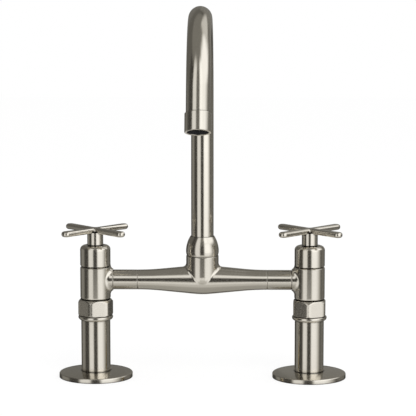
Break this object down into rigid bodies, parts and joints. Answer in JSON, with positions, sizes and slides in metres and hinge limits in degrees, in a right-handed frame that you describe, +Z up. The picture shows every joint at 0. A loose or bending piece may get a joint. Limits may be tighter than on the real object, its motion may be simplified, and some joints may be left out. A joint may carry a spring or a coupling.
{
  "type": "bridge kitchen faucet",
  "caption": "Deck-mounted bridge kitchen faucet: hot and cold columns with cross handles, joined by a bridge that carries a swivelling gooseneck spout.",
  "frame": {"origin": "on the deck's top face, midway between the two columns", "axes": "+X to the right-hand (cold) column, -Y to the front where the spout points at rest, +Z up"},
  "size_m": [0.2732, 0.2242, 0.4246],
  "materials": {
    "satin_nickel": "warm satin nickel plating over brass, finely brushed",
    "bare_brass": "turned bare brass",
    "zinc_steel": "zinc plated steel",
    "black_rubber": "matt black rubber",
    "ceramic": "lapped alumina ceramic",
    "nylon": "natural nylon",
    "insert_plastic": "grey moulded acetal"
  },
  "bodies": {
    "root": {"left_base_flange": "satin_nickel", "left_flange_gasket": "black_rubber", "left_post": "satin_nickel", "left_supply_shank": "bare_brass", "left_rubber_washer": "black_rubber", "left_steel_washer": "zinc_steel", "left_lock_nut": "bare_brass", "left_union_nut": "satin_nickel", "left_union_washer": "black_rubber", "left_union_tailpiece": "bare_brass", "left_valve_body": "satin_nickel", "left_valve_bonnet": "satin_nickel", "left_cartridge_housing": "bare_brass", "left_cartridge_seal": "black_rubber", "left_fixed_disc": "ceramic", "left_bridge_tube": "satin_nickel", "left_bridge_oring": "black_rubber", "right_base_flange": "satin_nickel", "right_flange_gasket": "black_rubber", "right_post": "satin_nickel", "right_supply_shank": "bare_brass", "right_rubber_washer": "black_rubber", "right_steel_washer": "zinc_steel", "right_lock_nut": "bare_brass", "right_union_nut": "satin_nickel", "right_union_washer": "black_rubber", "right_union_tailpiece": "bare_brass", "right_valve_body": "satin_nickel", "right_valve_bonnet": "satin_nickel", "right_cartridge_housing": "bare_brass", "right_cartridge_seal": "black_rubber", "right_fixed_disc": "ceramic", "right_bridge_tube": "satin_nickel", "right_bridge_oring": "black_rubber", "bridge_tee": "satin_nickel", "swivel_ring_lower": "nylon", "swivel_ring_upper": "nylon", "swivel_nut": "satin_nickel"},
    "spout": {"spout_tube": "satin_nickel", "swivel_sleeve": "bare_brass", "spout_orings": "black_rubber", "aerator_housing": "satin_nickel", "aerator_insert": "insert_plastic", "aerator_washer": "black_rubber"},
    "left_handle": {"left_cross_handle": "satin_nickel", "left_handle_screw": "zinc_steel", "left_spindle": "bare_brass", "left_spindle_oring": "black_rubber", "left_moving_disc": "ceramic"},
    "right_handle": {"right_cross_handle": "satin_nickel", "right_handle_screw": "zinc_steel", "right_spindle": "bare_brass", "right_spindle_oring": "black_rubber", "right_moving_disc": "ceramic"}
  },
  "joints": [
    {"name": "spout_swivel", "type": "hinge", "parent": "root", "child": "spout", "pos_m": [0, 0, 0.105], "axis": [0, 0, 1], "continuous": true},
    {"name": "left_handle_turn", "type": "hinge", "parent": "root", "child": "left_handle", "pos_m": [-0.1016, 0, 0.13], "axis": [0, 0, 1], "range_deg": [0, 90]},
    {"name": "right_handle_turn", "type": "hinge", "parent": "root", "child": "right_handle", "pos_m": [0.1016, 0, 0.13], "axis": [0, 0, -1], "range_deg": [0, 90]}
  ]
}
